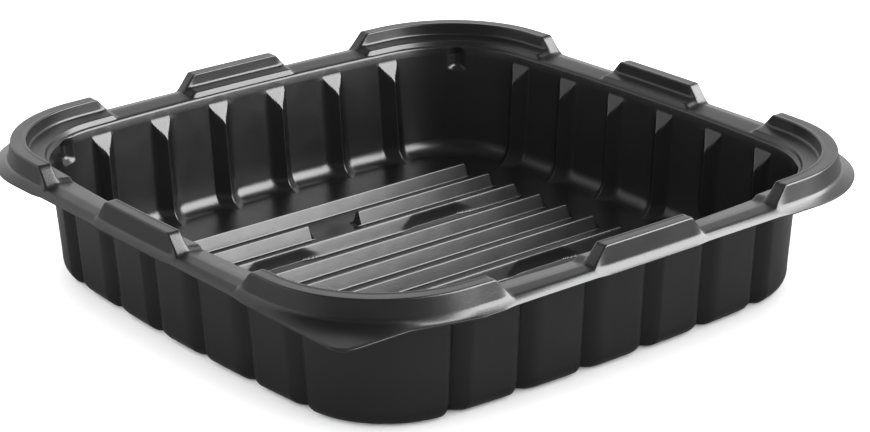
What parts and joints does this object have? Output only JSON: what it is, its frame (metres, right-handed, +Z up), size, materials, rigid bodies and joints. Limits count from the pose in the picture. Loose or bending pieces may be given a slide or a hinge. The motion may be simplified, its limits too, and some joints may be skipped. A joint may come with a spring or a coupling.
{
  "type": "square plastic food tray",
  "caption": "Shallow square one-piece food tray with fluted walls, a ribbed floor, raised rim lugs and a corner pull tab.",
  "frame": {"origin": "middle of the tray in plan, on the plane that it stands on", "axes": "+Z up out of the open top, +X along the floor ribs, +Y across them; the pull tab is at the corner between -X and -Y"},
  "size_m": [0.2542, 0.2542, 0.054],
  "materials": {
    "black_plastic": "satin black formed polypropylene sheet, softly glossy, with fine grain"
  },
  "bodies": {
    "root": {"tray": "black_plastic"}
  },
  "joints": []
}
